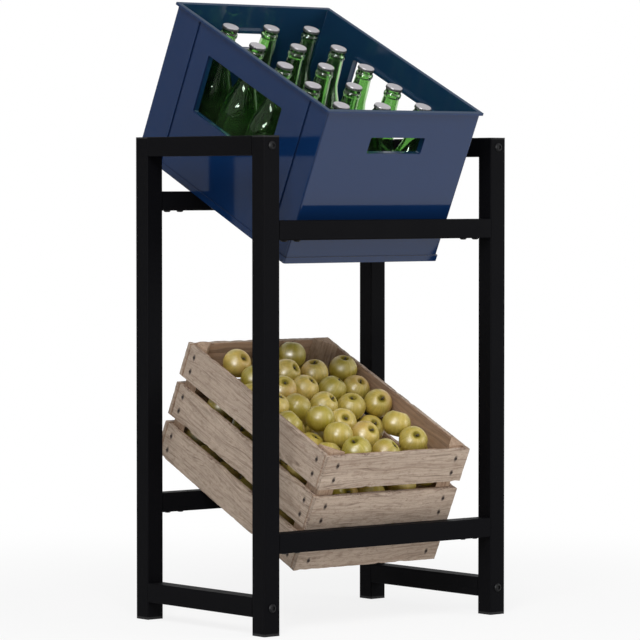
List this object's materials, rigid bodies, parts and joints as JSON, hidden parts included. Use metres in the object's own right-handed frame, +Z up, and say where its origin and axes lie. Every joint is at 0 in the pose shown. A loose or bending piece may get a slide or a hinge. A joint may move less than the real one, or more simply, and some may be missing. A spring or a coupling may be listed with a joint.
{
  "type": "market crate stand",
  "caption": "Free-standing square-tube stand with two levels of bars that hold leaning crates: a moulded crate of capped bottles above a nailed wooden crate of apples.",
  "frame": {"origin": "on the floor, at the middle of the whole outline in X and Y", "axes": "+X to the right, +Y to the back, +Z up; the crates lean down to the front, which is -Y"},
  "size_m": [0.485, 0.483, 0.9628],
  "materials": {
    "powder_coat": "satin powder coat",
    "black_fastener": "black oxide",
    "black_plastic": "matte",
    "blue_plastic": "glossy",
    "green_glass": "clear green",
    "cap_metal": "lacquered grey",
    "slat_wood": "sawn and weathered",
    "post_wood": "sawn",
    "board_wood": "sawn",
    "nail_steel": "dark and dull",
    "apple_skin": "waxy skin"
  },
  "bodies": {
    "stand": {"leg_front_left": "powder_coat", "leg_front_right": "powder_coat", "leg_rear_left": "powder_coat", "leg_rear_right": "powder_coat", "top_rail_left": "powder_coat", "top_rail_right": "powder_coat", "bottom_rail_left": "powder_coat", "bottom_rail_right": "powder_coat", "upper_front_bar": "powder_coat", "upper_rear_bar": "powder_coat", "lower_front_bar": "powder_coat", "lower_rear_bar": "powder_coat", "bar_stubs": "powder_coat", "bar_screws": "black_fastener", "rail_inserts": "black_fastener", "rail_bolts": "black_fastener", "leg_caps": "black_plastic", "foot_caps": "black_plastic"},
    "bottle_crate_load": {"bottle_crate": "blue_plastic", "bottles": "green_glass", "bottle_caps": "cap_metal"},
    "fruit_crate_load": {"post_front_left": "post_wood", "post_front_right": "post_wood", "post_rear_left": "post_wood", "post_rear_right": "post_wood", "front_slat_low": "slat_wood", "front_slat_middle": "slat_wood", "front_slat_top": "slat_wood", "rear_slat_low": "slat_wood", "rear_slat_middle": "slat_wood", "rear_slat_top": "slat_wood", "left_slat_low": "slat_wood", "left_slat_middle": "slat_wood", "left_slat_top": "slat_wood", "right_slat_low": "slat_wood", "right_slat_middle": "slat_wood", "right_slat_top": "slat_wood", "bottom_boards": "board_wood", "front_cleat": "board_wood", "rear_cleat": "board_wood", "slat_nails": "nail_steel", "board_nails": "nail_steel", "apples_bottom": "apple_skin", "apples_second": "apple_skin", "apples_third": "apple_skin", "apples_fourth": "apple_skin", "apples_fifth": "apple_skin", "apples_top": "apple_skin"}
  },
  "joints": [
    {"name": "bottle_crate_lift", "type": "slide", "parent": "stand", "child": "bottle_crate_load", "axis": [0, 0, 1], "range_m": [0, 0.3]},
    {"name": "fruit_crate_lift", "type": "slide", "parent": "stand", "child": "fruit_crate_load", "axis": [0, 0, 1], "range_m": [0, 0.15]}
  ]
}
